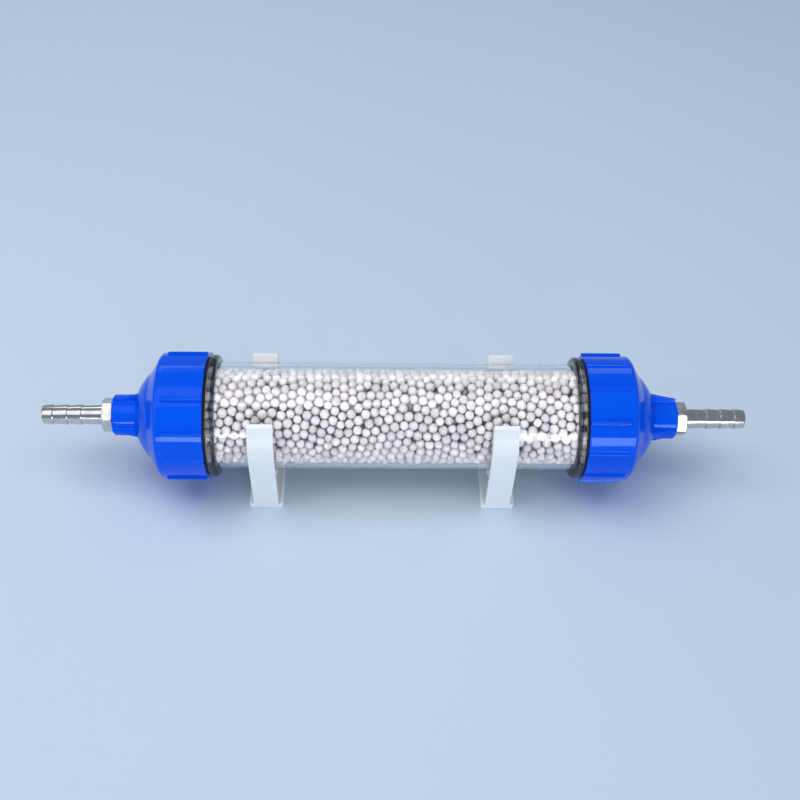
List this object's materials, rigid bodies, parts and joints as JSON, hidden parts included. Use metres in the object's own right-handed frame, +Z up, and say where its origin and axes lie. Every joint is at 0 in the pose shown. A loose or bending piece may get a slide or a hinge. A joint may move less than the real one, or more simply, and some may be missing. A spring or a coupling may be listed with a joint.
{
  "type": "drying tube",
  "caption": "Clear refillable drying tube packed with white desiccant beads, closed by blue ribbed screw caps with metal hose barbs, held in white snap-in clips.",
  "frame": {"origin": "on the surface that the clips stand on, under the middle of the tube's length, on its centre line", "axes": "+X along the tube to its right end in the picture, +Y away from the picture's viewer, +Z up"},
  "size_m": [0.3286, 0.061, 0.0695],
  "materials": {
    "clear_plastic": "clear polished acrylic or PET",
    "bead_ceramic": "matte off-white activated alumina beads",
    "cap_plastic": "glossy royal blue moulded plastic",
    "barb_metal": "turned and nickel plated",
    "seal_rubber": "black nitrile rubber",
    "strainer_plastic": "white moulded plastic",
    "filter_foam": "open-cell white foam",
    "clip_plastic": "white moulded plastic"
  },
  "bodies": {
    "tube": {"tube_body": "clear_plastic", "desiccant_beads": "bead_ceramic", "left_cap_seal": "seal_rubber", "right_cap_seal": "seal_rubber", "left_filter_pad": "filter_foam", "right_filter_pad": "filter_foam", "left_clip": "clip_plastic", "right_clip": "clip_plastic"},
    "left_strainer": {"left_strainer": "strainer_plastic"},
    "left_cap": {"left_cap": "cap_plastic", "left_hose_barb": "barb_metal"},
    "right_strainer": {"right_strainer": "strainer_plastic"},
    "right_cap": {"right_cap": "cap_plastic", "right_hose_barb": "barb_metal"}
  },
  "joints": [
    {"name": "left_cap_turn", "type": "hinge", "parent": "left_strainer", "child": "left_cap", "pos_m": [-0.1, 0, 0.039], "axis": [-1, 0, 0], "range_deg": [0, 1080]},
    {"name": "left_cap_travel", "type": "slide", "parent": "tube", "child": "left_strainer", "axis": [-1, 0, 0], "range_m": [0, 0.012]},
    {"name": "right_cap_turn", "type": "hinge", "parent": "right_strainer", "child": "right_cap", "pos_m": [0.1, 0, 0.039], "axis": [1, 0, 0], "range_deg": [0, 1080]},
    {"name": "right_cap_travel", "type": "slide", "parent": "tube", "child": "right_strainer", "axis": [1, 0, 0], "range_m": [0, 0.012]}
  ],
  "couplings": [
    {"joint": "left_cap_travel", "follows": "left_cap_turn", "m_per_rad": 0.00063662},
    {"joint": "right_cap_travel", "follows": "right_cap_turn", "m_per_rad": 0.00063662}
  ]
}
